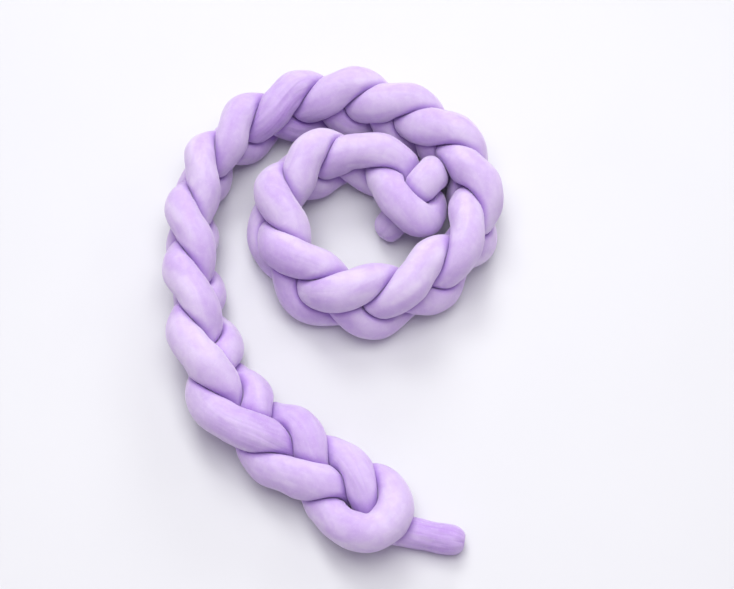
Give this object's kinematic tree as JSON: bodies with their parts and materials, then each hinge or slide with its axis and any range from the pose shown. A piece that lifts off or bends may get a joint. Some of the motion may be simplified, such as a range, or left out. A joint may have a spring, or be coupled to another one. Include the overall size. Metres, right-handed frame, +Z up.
{
  "type": "crib bumper",
  "caption": "Soft crib bumper: one stuffed velvet tube plaited with itself and laid flat on the floor as an open spiral, with a round loop and a short free tail at its outer end.",
  "frame": {"origin": "on the floor, below the middle of the bumper's outline as it lies in its spiral", "axes": "+Z up; +Y from the tail end of the spiral toward its round top, the longest extent; +X toward the side that the tail points to"},
  "size_m": [0.5298, 0.7966, 0.1295],
  "materials": {
    "lilac_velvet": "matte short-pile velvet with a soft sheen"
  },
  "bodies": {
    "root": {"plaited_tube": "lilac_velvet"}
  },
  "joints": []
}
